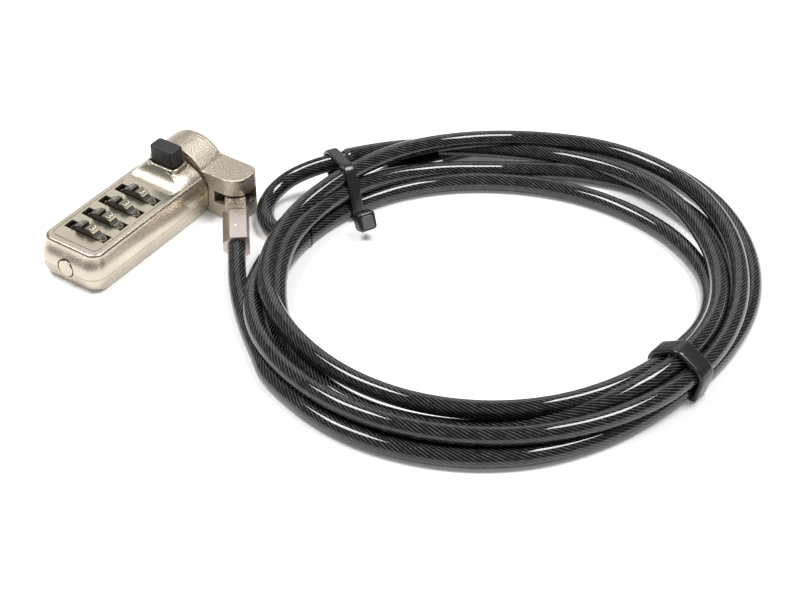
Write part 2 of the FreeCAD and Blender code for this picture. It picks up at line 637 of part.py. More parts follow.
def build_ferrule():
    """The cable's end fitting: a hinge lug and a sleeve bevelled broadly on one side."""
    half = FERRULE_WIDTH / 2
    z0 = FERRULE_Z - FERRULE_HEIGHT / 2
    z1 = FERRULE_Z + FERRULE_HEIGHT / 2
    corners = [
        (-half + FERRULE_BEVEL, z1), (half - FERRULE_EASE, z1), (half, z1 - FERRULE_EASE),
        (half, z0 + FERRULE_EASE), (half - FERRULE_EASE, z0), (-half + FERRULE_BEVEL, z0),
        (-half, z0 + FERRULE_BEVEL), (-half, z1 - FERRULE_BEVEL),
    ]
    points = [V(SLEEVE_START, y, z) for y, z in corners]
    sleeve = Part.Face(Part.makePolygon(points + [points[0]])).extrude(V(SLEEVE_END - SLEEVE_START, 0, 0))
    lug_z0 = CLEVIS_Z0 + (CLEVIS_Z1 - CLEVIS_Z0 - LUG_THICK) / 2
    lug = box(0, SLEEVE_START + 1, -LUG_HALF_WIDTH, LUG_HALF_WIDTH, lug_z0, lug_z0 + LUG_THICK)
    lug = lug.fuse(post(LUG_HALF_WIDTH, 0, 0, lug_z0, lug_z0 + LUG_THICK))
    lug = lug.cut(post(PIN_R + FIT_GAP, 0, 0, -1, 20))
    ferrule = sleeve.fuse(lug).removeSplitter()
    mouth = disc(CABLE_D / 2, SLEEVE_END - MOUTH_DEPTH, SLEEVE_END + 1, z=FERRULE_Z)
    ferrule = ferrule.cut(mouth)
    dimple = Part.makeSphere(DIMPLE_R, V(DIMPLE_AT, 0, z1 + DIMPLE_R * 0.65))
    ferrule = ferrule.cut(dimple)
    ferrule.rotate(V(0, 0, 0), V(0, 0, 1), FERRULE_TURN)
    ferrule.translate(V(PIN_X, PIN_Y, 0))
    export("cable_ferrule", ferrule)


def rounded_path(points, name):
    """Straight runs joined by tangent arcs, each as large as its two runs allow."""
    runs = [points[i + 1].sub(points[i]) for i in range(len(points) - 1)]
    edges = []
    radii = []
    cursor = points[0]
    for i in range(1, len(points) - 1):
        before = V(runs[i - 1])
        after = V(runs[i])
        shorter = min(before.Length, after.Length)
        turn = before.getAngle(after)
        reach = 0.45 * shorter
        radii.append(reach / math.tan(turn / 2))
        before.normalize()
        after.normalize()
        start = points[i].sub(before.multiply(reach))
        end = points[i].add(after.multiply(reach))
        corner = points[i]
        chord_mid = start.add(end).multiply(0.5)
        inward = chord_mid.sub(corner)
        bow = radii[-1] / math.cos(turn / 2) - radii[-1]
        inward.normalize()
        middle = corner.add(inward.multiply(bow))
        edges.append(Part.LineSegment(cursor, start).toShape())
        edges.append(Part.Arc(start, middle, end).toShape())
        cursor = end
    edges.append(Part.LineSegment(cursor, points[-1]).toShape())
    print("%s bend radii (mm): %s" % (name, ", ".join("%.1f" % r for r in radii)))
    return Part.Wire(edges)


def tube(route, name):
    """A round cable along a route, with its volume checked against its length."""
    points = [V(*p) for p in route]
    path = rounded_path(points, name)
    first = points[1].sub(points[0])
    circle = Part.Circle(points[0], first, CABLE_D / 2)
    section = Part.Wire([circle.toShape()])
    shape = path.makePipeShell([section], True, False)
    expected = math.pi * (CABLE_D / 2) ** 2 * path.Length
    print("%s length %.2f mm, volume %.1f of %.1f mm3" % (name, path.Length, shape.Volume, expected))
    return shape


def oval(long_r, short_r, x, y, z):
    """A closed oval wire about an upright axis."""
    ellipse = Part.Ellipse(V(0, 0, 0), long_r, short_r)
    wire = Part.Wire([ellipse.toShape()])
    wire.rotate(V(0, 0, 0), V(0, 0, 1), COIL_TURN)
    wire.translate(V(x, y, z))
    return wire


def placed_on_coil(shape, angle):
    """Carry a shape made along +X out to its place round the coil's centre."""
    shape.rotate(V(0, 0, 0), V(0, 0, 1), angle)
    shape.translate(V(COIL_X, COIL_Y, 0))
    return shape


def carried(shape, inner, outer):
    """Carry a shape made along +X to a plan point, turned towards another."""
    angle = math.degrees(math.atan2(outer[1] - inner[1], outer[0] - inner[0]))
    shape.rotate(V(0, 0, 0), V(0, 0, 1), angle)
    shape.translate(V(inner[0], inner[1], 0))
    return shape


def tie_loop(inner, outer, width, hug):
    """A flat strap closed round the bundle between two plan points, with its outside corners rounded.

    hug holds the profile that the strap encloses, as (distance along, height) pairs.
    """
    corners = [V(along, -width / 2, TIE_THICK + height) for along, height in hug]
    held = Part.Face(Part.makePolygon(corners + [corners[0]]))
    around = held.makeOffset2D(TIE_THICK)
    loop = around.extrude(V(0, width, 0)).cut(held.extrude(V(0, width, 0)))
    return carried(loop, inner, outer)


def build_ties():
    """The zip tie with its head, and the wider band at the coil's far side."""
    reach = math.dist(ZIP_TIE_INNER, ZIP_TIE_OUTER) - 2 * TIE_THICK
    shoulder = COIL_HEIGHT - TIE_THICK + 0.1
    zip_hug = [(0.0, 0.0)] + [(reach + along, height) for along, height in ZIP_TIE_PROFILE]
    zip_strap = tie_loop(ZIP_TIE_INNER, ZIP_TIE_OUTER, ZIP_TIE_WIDTH, zip_hug + [(0.0, shoulder)])
    reach = math.dist(BAND_TIE_INNER, BAND_TIE_OUTER)
    band_hug = [(0.0, 0.0), (reach, 0.0), (reach, shoulder), (0.0, shoulder)]
    band = tie_loop(BAND_TIE_INNER, BAND_TIE_OUTER, BAND_TIE_WIDTH, band_hug)
    head = box(-TIE_THICK - ZIP_HEAD_DEPTH, -TIE_THICK, -ZIP_HEAD_WIDTH / 2, ZIP_HEAD_WIDTH / 2,
               ZIP_HEAD_Z0, ZIP_HEAD_Z1)
    export("zip_tie_strap", zip_strap)
    export("zip_tie_head", carried(head.makeFillet(0.5, head.Edges), ZIP_TIE_INNER, ZIP_TIE_OUTER))
    export("band_tie", band)
    return [zip_strap, band]


def build_cable():
    """The lead, the coil's outer form and the end loop with its sleeve."""
    export("cable_lead", tube(CABLE_ROUTE, "cable_lead"))
    outer = Part.Face(oval(COIL_LONG_R, COIL_SHORT_R, COIL_X + COIL_SHIFT_X, COIL_Y + COIL_SHIFT_Y, 0))
    ring = outer.extrude(V(0, 0, COIL_HEIGHT))
    ring = ring.makeFillet(COIL_EDGE_R, edges_at_z(ring, 0) + edges_at_z(ring, COIL_HEIGHT))
    ring = ring.cut(post(COIL_INNER_R, COIL_X + HOLE_SHIFT_X, COIL_Y + HOLE_SHIFT_Y, -1, 20))
    for strap in build_ties():
        ring = ring.cut(strap)
    sleeve = box(EYE_SLEEVE_R0, EYE_SLEEVE_R0 + EYE_SLEEVE_WIDTH, -EYE_SLEEVE_LENGTH / 2, EYE_SLEEVE_LENGTH / 2,
                 0, EYE_SLEEVE_HEIGHT)
    rounds = [edge for edge in sleeve.Edges if edge.BoundBox.YLength > EYE_SLEEVE_WIDTH]
    sleeve = placed_on_coil(sleeve.makeFillet(EYE_SLEEVE_HEIGHT * 0.35, rounds), EYE_SLEEVE_ANGLE)
    export("eye_sleeve", sleeve)
    export("cable_coil", ring.cut(sleeve))
    export("cable_eye", tube(EYE_ROUTE, "cable_eye"))


def export(name, shape):
    """Write one sub-part, and say what it is."""
    solids = shape.Solids
    if len(solids) != 1 or not shape.isValid():
        print("CHECK %s: %d solids, valid %s" % (name, len(solids), shape.isValid()))
    solids[0].exportStep("parts/%s.step" % name)


def export_group(name, shapes):
    """Write identical pieces as one sub-part of separate solids."""
    Part.makeCompound(shapes).exportStep("parts/%s.step" % name)


os.makedirs("parts", exist_ok=True)
build_case()
build_dials()
build_detent()
build_nose()
build_spindle()
build_button()
build_reset()
build_neck()
build_ferrule()
build_cable()
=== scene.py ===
"""Looks of the laptop cable lock: its coiled cable, ties, dials and metal finishes.

Every length is in metres in the part's own frame: +X runs along the head towards the
T-bar, +Z is up, and the origin is the centre of the case's flat underside.
"""

from dataclasses import dataclass, field
from enum import Enum
import logging
import math

import bmesh
import bpy
import numpy as np
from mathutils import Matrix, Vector

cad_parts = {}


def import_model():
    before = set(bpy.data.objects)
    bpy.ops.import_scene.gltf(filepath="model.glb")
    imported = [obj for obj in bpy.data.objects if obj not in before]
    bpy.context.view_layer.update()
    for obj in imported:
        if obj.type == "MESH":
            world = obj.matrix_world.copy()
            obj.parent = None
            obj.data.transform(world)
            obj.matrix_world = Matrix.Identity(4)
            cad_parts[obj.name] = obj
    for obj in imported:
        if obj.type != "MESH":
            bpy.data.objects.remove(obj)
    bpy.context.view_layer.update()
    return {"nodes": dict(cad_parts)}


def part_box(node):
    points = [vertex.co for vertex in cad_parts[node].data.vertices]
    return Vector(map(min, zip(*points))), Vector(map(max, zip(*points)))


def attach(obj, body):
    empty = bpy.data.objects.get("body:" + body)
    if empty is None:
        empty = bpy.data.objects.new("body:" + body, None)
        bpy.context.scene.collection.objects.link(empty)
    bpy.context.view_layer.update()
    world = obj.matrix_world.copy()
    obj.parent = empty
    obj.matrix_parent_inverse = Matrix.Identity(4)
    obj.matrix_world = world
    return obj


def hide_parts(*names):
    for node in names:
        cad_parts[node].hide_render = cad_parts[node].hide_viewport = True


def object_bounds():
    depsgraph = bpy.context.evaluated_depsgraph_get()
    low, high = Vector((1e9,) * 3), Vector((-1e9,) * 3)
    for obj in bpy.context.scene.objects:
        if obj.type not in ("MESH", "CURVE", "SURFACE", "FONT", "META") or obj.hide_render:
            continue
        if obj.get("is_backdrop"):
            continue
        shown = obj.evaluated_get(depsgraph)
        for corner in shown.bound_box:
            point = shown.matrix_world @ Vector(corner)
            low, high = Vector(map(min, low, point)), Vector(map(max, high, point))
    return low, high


LOG = logging.getLogger("cable_lock")
MM = 0.001
CABLE_BODY = "cable"
DIAL_COUNT = 4
DIAL_AXIS_Z = 6.8 * MM
DIGITS = 10
SAME_POINT = 1e-9

Colour = tuple[float, float, float]
Place = tuple[float, float, float]


# ---------------------------------------------------------------------------------
# mesh helpers
# ---------------------------------------------------------------------------------
def mesh_object(name: str, points: np.ndarray, faces: list[list[int]],
                smooth: bool = True) -> bpy.types.Object:
    """Make one object from its points and faces, placed in its mesh.

    Args:
        name: the object's name.
        points: n by 3 places in metres.
        faces: each face's corner numbers, turning the right way.
        smooth: whether faces are shaded smooth.

    Returns:
        The linked object, at the origin.
    """
    mesh = bpy.data.meshes.new(name)
    mesh.from_pydata(points.tolist(), [], faces)
    mesh.update()
    mesh.polygons.foreach_set("use_smooth", [smooth] * len(mesh.polygons))
    obj = bpy.data.objects.new(name, mesh)
    bpy.context.scene.collection.objects.link(obj)
    return obj


def grid_faces(rows: int, cols: int, wrap_rows: bool = False, wrap_cols: bool = False) -> np.ndarray:
    """Quads of a rows by cols grid of points, numbered row by row.

    Args:
        rows: points along the first parameter.
        cols: points along the second parameter.
        wrap_rows: join the last row to the first.
        wrap_cols: join the last column to the first.

    Returns:
        An m by 4 array of corner numbers.
    """
    i = np.arange(rows if wrap_rows else rows - 1)
    j = np.arange(cols if wrap_cols else cols - 1)
    a, b = np.meshgrid(i, j, indexing="ij")
    a2 = (a + 1) % rows
    b2 = (b + 1) % cols
    quads = np.stack([a * cols + b, a2 * cols + b, a2 * cols + b2, a * cols + b2], axis=-1)
    return quads.reshape(-1, 4)


def set_uv(obj: bpy.types.Object, u: np.ndarray, v: np.ndarray) -> None:
    """Give every face corner its place on the UV map.

    Args:
        obj: the object to map.
        u: first coordinate of each face corner, in face order.
        v: second coordinate of each face corner, in face order.
    """
    layer = obj.data.uv_layers.new(name="UVMap")
    both = np.stack([u, v], axis=-1).astype(np.float32)
    layer.data.foreach_set("uv", both.ravel())


def turning_frames(path: np.ndarray) -> tuple[np.ndarray, np.ndarray, np.ndarray]:
    """Tangents and two side directions along a path that don't twist about it.

    Each side direction is the one before it, with its part along the new tangent taken
    out, so a tube's seam runs straight along it.

    Args:
        path: n by 3 points.

    Returns:
        Tangents, first sides and second sides, each n by 3.
    """
    tangent = np.gradient(path, axis=0)
    tangent /= np.linalg.norm(tangent, axis=1, keepdims=True)
    side = np.zeros_like(tangent)
    current = np.cross(tangent[0], [0.0, 0.0, 1.0])
    current /= np.linalg.norm(current)
    for i in range(len(path)):
        current = current - tangent[i] * (current @ tangent[i])
        current /= np.linalg.norm(current)
        side[i] = current
    return tangent, side, np.cross(tangent, side)


# ---------------------------------------------------------------------------------
# materials
# ---------------------------------------------------------------------------------
class Nodes:
    """A small builder for one material's node tree."""

    def __init__(self, name: str) -> None:
        """Start a material with a Principled shader and an output.

        Args:
            name: the material's name.
        """
        self.material = bpy.data.materials.new(name)
        self.material.use_nodes = True
        self.tree = self.material.node_tree
        self.shader = self.tree.nodes["Principled BSDF"]

    def add(self, kind: str, **settings: object) -> bpy.types.Node:
        """Add a node and set its properties.

        Args:
            kind: the node's type.
            settings: its properties by name.

        Returns:
            The node.
        """
        node = self.tree.nodes.new(kind)
        for key, value in settings.items():
            setattr(node, key, value)
        return node

    def join(self, source: bpy.types.NodeSocket, target: bpy.types.NodeSocket) -> None:
        """Link an output to an input."""
        self.tree.links.new(source, target)

    def put(self, **values: object) -> None:
        """Set the shader's own sockets by name, spaces written as underscores."""
        for key, value in values.items():
            self.shader.inputs[key.replace("_", " ")].default_value = value

    def math(self, operation: str, *values: object) -> bpy.types.NodeSocket:
        """Add a Math node.

        Args:
            operation: what it works out.
            values: its inputs in order, each a number or an output.

        Returns:
            The result.
        """
        node = self.add("ShaderNodeMath", operation=operation)
        for socket, value in zip(node.inputs, values):
            if isinstance(value, (int, float)):
                socket.default_value = value
            else:
                self.join(value, socket)
        return node.outputs[0]

    def object_place(self) -> bpy.types.NodeSocket:
        """Object coordinates, which are the part's own frame in metres."""
        return self.add("ShaderNodeTexCoord").outputs["Object"]

    def noise(self, scale: float, detail: float = 2.0, rough: float = 0.5) -> bpy.types.NodeSocket:
        """Noise on object coordinates.

        Args:
            scale: bumps per metre.
            detail: how many finer layers it adds.
            rough: how strong those layers are.

        Returns:
            The noise, from 0 to 1.
        """
        node = self.add("ShaderNodeTexNoise")
        node.inputs["Scale"].default_value = scale
        node.inputs["Detail"].default_value = detail
        node.inputs["Roughness"].default_value = rough
        self.join(self.object_place(), node.inputs["Vector"])
        return node.outputs["Fac"]

    def ramp(self, factor: bpy.types.NodeSocket, *stops: tuple[float, Colour]) -> bpy.types.NodeSocket:
        """A colour ramp.

        Args:
            factor: the output that it reads.
            stops: each stop's place, from 0 to 1, and colour.

        Returns:
            The colour.
        """
        node = self.add("ShaderNodeValToRGB")
        elements = node.color_ramp.elements
        while len(elements) < len(stops):
            elements.new(0.5)
        for element, (place, colour) in zip(elements, stops):
            element.position = place
            element.color = (*colour, 1.0)
        self.join(factor, node.inputs["Fac"])
        return node.outputs["Color"]

    def spread(self, factor: bpy.types.NodeSocket, low: float, high: float) -> bpy.types.NodeSocket:
        """Carry an output that runs from 0 to 1 to another span.

        Args:
            factor: the output.
            low: what 0 becomes.
            high: what 1 becomes.

        Returns:
            The carried output.
        """
        node = self.add("ShaderNodeMapRange")
        self.join(factor, node.inputs["Value"])
        node.inputs["To Min"].default_value = low
        node.inputs["To Max"].default_value = high
        return node.outputs["Result"]

    def bump(self, height: bpy.types.NodeSocket, strength: float, distance: float) -> None:
        """Give the shader a bump.

        Args:
            height: the output that it reads.
            strength: how much of it is used, from 0 to 1.
            distance: its depth in metres.
        """
        node = self.add("ShaderNodeBump")
        node.inputs["Strength"].default_value = strength
        node.inputs["Distance"].default_value = distance
        self.join(height, node.inputs["Height"])
        self.join(node.outputs["Normal"], self.shader.inputs["Normal"])


class Grain(Enum):
    """How a metal surface is left by its making: bumps per metre and their depth in metres."""

    SATIN = (3000.0, 0.00003)
    CAST = (2200.0, 0.00030)
    FINE = (5200.0, 0.00002)

    def fine(self, n: Nodes) -> bpy.types.NodeSocket:
        """Add the grain's bump to a material.

        Args:
            n: the material's nodes.

        Returns:
            The grain's noise.
        """
        scale, depth = self.value
        noise = n.noise(scale, detail=2.0, rough=0.6)
        n.bump(noise, strength=1.0, distance=depth)
        return noise


@dataclass(frozen=True)
class MetalFinish:
    """A plated or bare metal with its grain, wear and small colour changes.

    Attributes:
        name: the material's name.
        colour: middle colour.
        rough: middle roughness.
        grain: how the surface was left.
        stain_scale: broad colour changes per metre.
        stain_share: how much of the colour's change is broad; the rest follows the grain.
        dull: the darkest colour as a share of the middle one.
        bright: the lightest colour as a share of the middle one.
        tones: mixed noise at which the darkest and the lightest colour are reached.
        rough_below: how far the roughness falls under its middle.
        rough_above: how far it rises over it.
    """

    name: str
    colour: Colour
    rough: float
    grain: Grain = Grain.FINE
    stain_scale: float = 160.0
    stain_share: float = 0.6
    dull: float = 0.90
    bright: float = 1.07
    tones: tuple[float, float] = (0.35, 0.65)
    rough_below: float = 0.05
    rough_above: float = 0.07

    def build(self) -> bpy.types.Material:
        """Make the material.

        Returns:
            The material.
        """
        n = Nodes(self.name)
        n.put(Metallic=1.0)
        fine = self.grain.fine(n)
        broad = n.math("MULTIPLY", n.noise(self.stain_scale, detail=3.0), self.stain_share)
        mixed = n.math("ADD", broad, n.math("MULTIPLY", fine, 1.0 - self.stain_share))
        low = tuple(c * self.dull for c in self.colour)
        high = tuple(min(1.0, c * self.bright) for c in self.colour)
        colour = n.ramp(mixed, (self.tones[0], low), (self.tones[1], high))
        n.join(colour, n.shader.inputs["Base Color"])
        rough = n.spread(fine, self.rough - self.rough_below, self.rough + self.rough_above)
        n.join(rough, n.shader.inputs["Roughness"])
        return n.material


@dataclass(frozen=True)
class DialFinish:
    """A dial: bright on the rim's pads, with painted shade, near black, on its sides and in its notches.

    Attributes:
        name: the material's name.
        colour: the pads' colour.
        dark: the painted shade colour laid on the sides and in the notches.
        rim: distance from the dial's axis past which it is bright; nearer the axis painted shade is laid.
        worn: the darkest share of the pads' colour.
        rough: lowest and highest roughness.
    """

    name: str
    colour: Colour
    dark: Colour = (0.020, 0.014, 0.009)
    rim: float = 5.80 * MM
    worn: float = 0.86
    rough: tuple[float, float] = (0.30, 0.42)

    def build(self) -> bpy.types.Material:
        """Make the material; distance from the axis is sqrt(y^2 + (z - axis height)^2).

        Returns:
            The material.
        """
        n = Nodes(self.name)
        split = n.add("ShaderNodeSeparateXYZ")
        n.join(n.object_place(), split.inputs[0])
        y = split.outputs["Y"]
        z = n.math("SUBTRACT", split.outputs["Z"], DIAL_AXIS_Z)
        distance = n.math("SQRT", n.math("ADD", n.math("MULTIPLY", y, y), n.math("MULTIPLY", z, z)))
        # nearer the axis than the rim, the dial's sides and notches get painted shade instead of bright
        # metal
        unshaded_pad = n.math("GREATER_THAN", distance, self.rim)
        fine = Grain.FINE.fine(n)
        tone = n.math("MULTIPLY", unshaded_pad, n.spread(fine, self.worn, 1.0))
        n.join(n.ramp(tone, (0.0, self.dark), (1.0, self.colour)), n.shader.inputs["Base Color"])
        n.join(unshaded_pad, n.shader.inputs["Metallic"])
        n.join(n.spread(fine, *self.rough), n.shader.inputs["Roughness"])
        return n.material


@dataclass(frozen=True)
class PlasticFinish:
    """A moulded plastic with a fine skin.

    Attributes:
        name: the material's name.
        colour: base colour.
        rough: middle roughness.
        skin_scale: bumps of the moulded skin per metre.
        skin_depth: their depth in metres.
        dull: the darkest colour as a share of the base.
        bright: the lightest colour as a share of the base.
        tones: noise at which the darkest and the lightest colour are reached.
        rough_below: how far the roughness falls under its middle.
        rough_above: how far it rises over it.
    """

    name: str
    colour: Colour
    rough: float
    skin_scale: float = 3800.0
    skin_depth: float = 0.00001
    dull: float = 0.8
    bright: float = 1.25
    tones: tuple[float, float] = (0.3, 0.7)
    rough_below: float = 0.04
    rough_above: float = 0.06

    def build(self) -> bpy.types.Material:
        """Make the material.

        Returns:
            The material.
        """
        n = Nodes(self.name)
        fine = n.noise(self.skin_scale)
        low = tuple(c * self.dull for c in self.colour)
        high = tuple(c * self.bright for c in self.colour)
        colour = n.ramp(fine, (self.tones[0], low), (self.tones[1], high))
        n.join(colour, n.shader.inputs["Base Color"])
        rough = n.spread(fine, self.rough - self.rough_below, self.rough + self.rough_above)
        n.join(rough, n.shader.inputs["Roughness"])
        n.bump(fine, strength=1.0, distance=self.skin_depth)
        return n.material


@dataclass(frozen=True)
class CableFinish:
    """Stranded steel seen through a smoky clear jacket.

    The wires wind round the cable: a wire's number is wires x (turn about the cable -
    length along it / lay). Under a smooth clear coat its fraction paints the shading of round
    wires: painted shade in the gaps between them and on their flanks, and a painted highlight
    stroke along each crest.

    Attributes:
        wires: wires seen round the cable.
        lay: length of one full turn of a wire, in metres.
        gap: painted shade between two wires, and where it ends across a wire.
        flank: painted shade on a wire's side, and where it ends.
        crest: painted highlight stroke along a wire's top.
        wear_scale: breaks in that painted highlight, per metre.
        wear: how far the breaks lower and raise the painted tone.
        wire_depth: depth of the bump over a wire, in metres.
    """

    wires: int = 18
    lay: float = 0.026
    gap: tuple[float, Colour] = (0.80, (0.001, 0.001, 0.0015))
    flank: tuple[float, Colour] = (0.972, (0.004, 0.004, 0.005))
    crest: Colour = (0.15, 0.15, 0.153)
    wear_scale: float = 620.0
    wear: tuple[float, float] = (0.965, 1.02)
    wire_depth: float = 0.00030

    def build(self) -> bpy.types.Material:
        """Make the material from the cable's own UV map: u in metres along it, v round it.

        Across runs from -1 to 1 over each wire, and its height is sqrt(1 - across^2); the colour is painted
        shading read from that height, dark in the gaps and on the flanks and a painted highlight on the
        crest.

        Returns:
            The material.
        """
        n = Nodes("smoky_cable")
        uv = n.add("ShaderNodeUVMap", uv_map="UVMap").outputs["UV"]
        split = n.add("ShaderNodeSeparateXYZ")
        n.join(uv, split.inputs[0])
        along = split.outputs["X"]
        turned = n.math("MULTIPLY", split.outputs["Y"], float(self.wires))
        number = n.math("MULTIPLY_ADD", along, -self.wires / self.lay, turned)
        across = n.math("SUBTRACT", n.math("MULTIPLY", n.math("FRACT", number), 2.0), 1.0)
        height = n.math("SQRT", n.math("SUBTRACT", 1.0, n.math("MULTIPLY", across, across)))
        # painted light: the wire's height sets painted shade in the gaps and flanks and a painted highlight
        # on the crest, broken into dashes by noise
        shade = n.math("MULTIPLY", height, n.spread(n.noise(self.wear_scale), *self.wear))
        n.join(n.ramp(shade, self.gap, self.flank, (1.0, self.crest)), n.shader.inputs["Base Color"])
        n.put(Metallic=0.0, Roughness=0.45, Coat_Weight=1.0, Coat_Roughness=0.05, Coat_IOR=1.5)
        n.shader.inputs["Specular IOR Level"].default_value = 0.05
        n.bump(height, strength=0.8, distance=self.wire_depth)
        return n.material


# ---------------------------------------------------------------------------------
# the cable
# ---------------------------------------------------------------------------------
@dataclass
class Cable:
    """The 1.7 m cable: lead, nearly five loose turns and the end loop, on one smooth line.

    Attributes:
        diameter: over the jacket.
        lead: given points from the ferrule's mouth to the coil.
        loop: given points of the end loop, out of the coil and back.
        centre: the coil's centre.
        aim: angle, in plan, from which the keys are counted.
        first_key: where the coil starts; the keys before it only steer the first turn.
        keys: angles round the coil where the turns' places are given, in degrees.
        turns: for each turn, its distance from the centre and height at each key, in mm.
        points_per_turn: spline points in one turn.
        spline_steps: steps between two spline points.
        ring_gap: distance between the tube's rings.
        sides: points round the tube.
    """

    diameter: float = 4.4 * MM
    lead: list[Place] = field(default_factory=lambda: [
        (0.01097, -0.02627, 0.0044),
        (0.0052, -0.03085, 0.0040),
        (-0.0008, -0.03575, 0.0030),
        (-0.0069, -0.0420, 0.00225),
        (-0.0124, -0.0486, 0.0022),
        (-0.0172, -0.0551, 0.0022),
    ])
    loop: list[Place] = field(default_factory=lambda: [
        (0.0485, -0.0337, 0.0105),
        (0.0448, -0.0289, 0.0092),
        (0.0408, -0.0241, 0.0070),
        (0.0365, -0.0213, 0.0052),
        (0.0309, -0.0209, 0.0038),
        (0.0259, -0.0230, 0.0027),
        (0.0224, -0.0273, 0.00225),
        (0.0220, -0.0330, 0.0022),
        (0.0258, -0.0380, 0.0022),
    ])
    centre: tuple[float, float] = (0.03486, -0.08594)
    aim: float = -55.39
    first_key: float = 212.0
    keys: tuple[float, ...] = (200, 225, 268, 320, 360, 405, 445, 493, 535)
    turns: tuple[tuple[tuple[float, float], ...], ...] = (
        ((60.4, 2.2), (61.6, 2.2), (58.8, 2.2), (53.5, 2.2), (60.0, 2.2),
         (65.4, 2.2), (59.5, 2.2), (51.1, 2.2), (57.3, 2.2)),
        ((59.3, 5.2), (59.0, 6.0), (56.0, 6.1), (54.9, 6.4), (56.4, 5.9),
         (60.5, 6.1), (55.8, 6.1), (49.6, 10.5), (55.3, 6.1)),
        ((53.3, 6.6), (50.8, 6.1), (48.0, 6.3), (47.5, 6.4), (49.7, 2.2),
         (44.0, 2.2), (42.0, 2.2), (46.6, 2.2), (52.9, 2.2)),
        ((56.5, 2.2), (57.2, 2.2), (54.0, 2.2), (49.0, 2.2), (55.6, 2.2),
         (55.3, 2.2), (46.9, 2.2), (48.0, 6.4), (51.8, 6.2)),
        ((52.6, 2.5), (53.7, 2.2), (49.6, 2.2), (51.2, 8.9), (51.2, 6.1),
         (52.8, 6.1), (54.4, 3.2), (54.8, 10.8)),
    )
    points_per_turn: int = 18
    spline_steps: int = 12
    ring_gap: float = 1.2 * MM
    sides: int = 24

    def coil_points(self) -> np.ndarray:
        """Points of the turns: distance and height run smoothly from key to key.

        Between two keys the value follows a cubic whose slope at each key is the slope
        between its neighbours, so no turn has a corner.

        Returns:
            n by 3 points in metres.
        """
        keys = np.array(self.keys)
        angle = np.concatenate([keys[:len(turn)] + 360.0 * t for t, turn in enumerate(self.turns)])
        value = np.array([pair for turn in self.turns for pair in turn]) * MM
        slope = np.gradient(value, angle, axis=0)
        last = 360.0 * (len(self.turns) - 1) + self.keys[len(self.turns[-1]) - 1]
        count = int((last - self.first_key) / 360.0 * self.points_per_turn)
        want = np.linspace(self.first_key, last, count)
        k = np.clip(np.searchsorted(angle, want, side="right") - 1, 0, len(angle) - 2)
        width = angle[k + 1] - angle[k]
        t = ((want - angle[k]) / width)[:, None]
        width = width[:, None]
        near = (1 + 2 * t) * (1 - t) ** 2 * value[k] + t * (1 - t) ** 2 * width * slope[k]
        far = t ** 2 * (3 - 2 * t) * value[k + 1] + t ** 2 * (t - 1) * width * slope[k + 1]
        spot = near + far
        # control points of a smooth spline stand a little outside the line they make
        step = math.radians(360.0 / self.points_per_turn)
        distance = spot[:, 0] * (1 + step ** 2 / 8)
        bearing = np.radians(want + self.aim)
        x = self.centre[0] + distance * np.cos(bearing)
        y = self.centre[1] + distance * np.sin(bearing)
        return np.stack([x, y, np.maximum(spot[:, 1], self.diameter / 2)], axis=-1)

    def line(self) -> np.ndarray:
        """The cable's centre line, read from one smooth NURBS spline through all its points.

        Returns:
            n by 3 points, evenly spaced.
        """
        points = np.concatenate([np.array(self.lead), self.coil_points(), np.array(self.loop)])
        curve = bpy.data.curves.new("cable_route", "CURVE")
        curve.dimensions = "3D"
        curve.resolution_u = self.spline_steps
        spline = curve.splines.new("NURBS")
        spline.points.add(len(points) - 1)
        weights = np.ones((len(points), 1))
        spline.points.foreach_set("co", np.concatenate([points, weights], axis=1).ravel())
        spline.order_u = 3
        spline.use_endpoint_u = True
        route = bpy.data.objects.new("cable_route", curve)
        bpy.context.scene.collection.objects.link(route)
        bpy.context.view_layer.update()
        mesh = bpy.data.meshes.new_from_object(route)
        raw = np.empty(len(mesh.vertices) * 3)
        mesh.vertices.foreach_get("co", raw)
        raw = raw.reshape(-1, 3)
        bpy.data.objects.remove(route)
        bpy.data.meshes.remove(mesh)
        return even_steps(raw, self.ring_gap)

    def build(self, finish: bpy.types.Material) -> tuple[bpy.types.Object, np.ndarray]:
        """Make the jacket as a tube along the line.

        Args:
            finish: its material.

        Returns:
            The cable's object and its centre line.
        """
        path = self.line()
        piece = tube("steel_cable", path, self.diameter / 2, self.sides)
        piece.data.materials.append(finish)
        return piece, path


def distance_along(line: np.ndarray) -> np.ndarray:
    """Each point's distance along a line from its first point."""
    return np.concatenate([[0.0], np.cumsum(np.linalg.norm(np.diff(line, axis=0), axis=1))])


def even_steps(line: np.ndarray, step: float) -> np.ndarray:
    """A line's points moved along it until they are evenly spaced.

    Args:
        line: n by 3 points, some of which may repeat.
        step: the distance wanted, which gives way a little to end on the last point.

    Returns:
        m by 3 points.
    """
    gaps = np.linalg.norm(np.diff(line, axis=0), axis=1)
    line = line[np.concatenate([[True], gaps > SAME_POINT])]
    reach = distance_along(line)
    want = np.linspace(0.0, reach[-1], max(2, int(round(reach[-1] / step)) + 1))
    return np.stack([np.interp(want, reach, line[:, k]) for k in range(3)], axis=-1)


